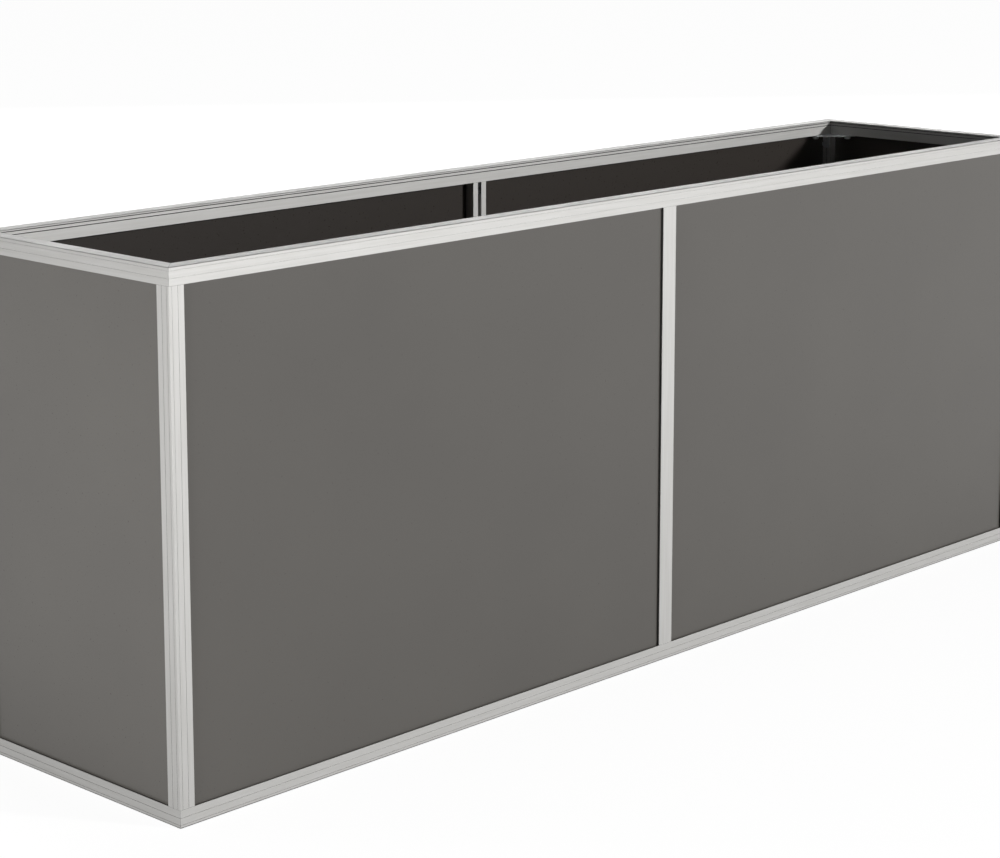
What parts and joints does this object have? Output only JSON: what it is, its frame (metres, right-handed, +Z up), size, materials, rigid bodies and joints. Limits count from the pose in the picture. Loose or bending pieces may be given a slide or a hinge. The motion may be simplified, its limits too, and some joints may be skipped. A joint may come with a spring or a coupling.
{
  "type": "raised garden bed",
  "caption": "Long, open-topped raised garden bed: an aluminium frame of grooved rails and posts holds flat grey panels; open at the top and the base, to be filled with soil.",
  "frame": {"origin": "middle of the footprint, on the ground", "axes": "+X along the bed, -Y the front, +Z up"},
  "size_m": [2, 0.44, 0.76],
  "materials": {
    "mill_aluminium": "mill finish extrusion with fine lengthwise lines",
    "grey_panel": "satin grey coating on flat composite sheet",
    "black_seal": "matt black extruded rubber",
    "zinc_steel": "zinc plated",
    "black_steel": "blackened and oiled"
  },
  "bodies": {
    "root": {"bottom_bracket_back_left": "zinc_steel", "bottom_bracket_back_right": "zinc_steel", "bottom_bracket_front_left": "zinc_steel", "bottom_bracket_front_right": "zinc_steel", "bottom_rail_back": "mill_aluminium", "bottom_rail_front": "mill_aluminium", "bottom_rail_left": "mill_aluminium", "bottom_rail_right": "mill_aluminium", "bracket_bolts": "zinc_steel", "bracket_nuts": "zinc_steel", "bracket_washers": "zinc_steel", "corner_post_back_left": "mill_aluminium", "corner_post_back_right": "mill_aluminium", "corner_post_front_left": "mill_aluminium", "corner_post_front_right": "mill_aluminium", "cross_tie": "zinc_steel", "mid_post_anchor_blocks": "black_steel", "mid_post_anchors": "black_steel", "mid_post_back": "mill_aluminium", "mid_post_front": "mill_aluminium", "mid_post_grub_screws": "black_steel", "panel_back_left": "grey_panel", "panel_back_right": "grey_panel", "panel_front_left": "grey_panel", "panel_front_right": "grey_panel", "panel_left": "grey_panel", "panel_right": "grey_panel", "panel_seal_back_left": "black_seal", "panel_seal_back_right": "black_seal", "panel_seal_front_left": "black_seal", "panel_seal_front_right": "black_seal", "panel_seal_left": "black_seal", "panel_seal_right": "black_seal", "tie_lock_nuts": "zinc_steel", "tie_slot_nuts": "zinc_steel", "tie_washers": "zinc_steel", "top_bracket_back_left": "zinc_steel", "top_bracket_back_right": "zinc_steel", "top_bracket_front_left": "zinc_steel", "top_bracket_front_right": "zinc_steel", "top_rail_back": "mill_aluminium", "top_rail_front": "mill_aluminium", "top_rail_left": "mill_aluminium", "top_rail_right": "mill_aluminium"}
  },
  "joints": []
}
